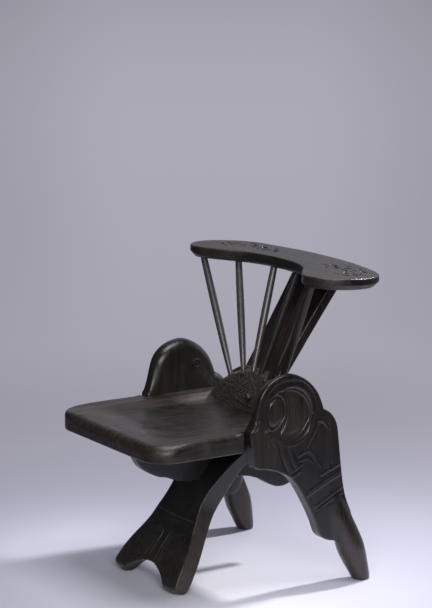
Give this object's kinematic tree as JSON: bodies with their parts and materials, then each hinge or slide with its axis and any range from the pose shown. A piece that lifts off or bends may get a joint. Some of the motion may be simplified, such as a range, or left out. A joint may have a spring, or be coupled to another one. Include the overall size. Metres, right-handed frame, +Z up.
{
  "type": "wooden chair",
  "caption": "Dark-stained wooden chair: carved side panels with club feet, a forked plank front leg, a scooped plank seat, and a wide crest rail on spindles and a raked splat.",
  "frame": {"origin": "on the floor, at the centre of the footprint of the whole outline", "axes": "+Z up, front edge of the seat towards -Y, +X towards the sitter's left-hand side, where the side panel nearer to the camera stands"},
  "size_m": [0.684, 0.6818, 0.7979],
  "materials": {
    "seat_wood": "dark stain, waxed satin, worn brown on the sitting area",
    "panel_wood": "black-brown stain, carved, satin",
    "leg_wood": "black-brown stain, carved, satin",
    "boss_wood": "black-brown stain, tooled surface, satin",
    "splat_wood": "dark brown stain, satin",
    "spindle_wood": "black-brown stain, turned, satin",
    "crest_wood": "black-brown stain, low carving, satin",
    "stud_wood": "dark stain, turned, satin",
    "dowel_wood": "bare wood"
  },
  "bodies": {
    "root": {"seat": "seat_wood", "side_panel_right": "panel_wood", "side_panel_left": "panel_wood", "front_leg": "leg_wood", "seat_spine": "leg_wood", "back_boss": "boss_wood", "back_splat": "splat_wood", "spindle_outer_right": "spindle_wood", "spindle_outer_left": "spindle_wood", "spindle_middle_right": "spindle_wood", "spindle_middle_left": "spindle_wood", "spindle_inner_right": "spindle_wood", "spindle_inner_left": "spindle_wood", "crest_rail": "crest_wood", "boss_studs": "stud_wood", "boss_button": "stud_wood", "hump_plugs": "stud_wood", "boss_dowels": "dowel_wood", "spine_dowels": "dowel_wood"}
  },
  "joints": []
}
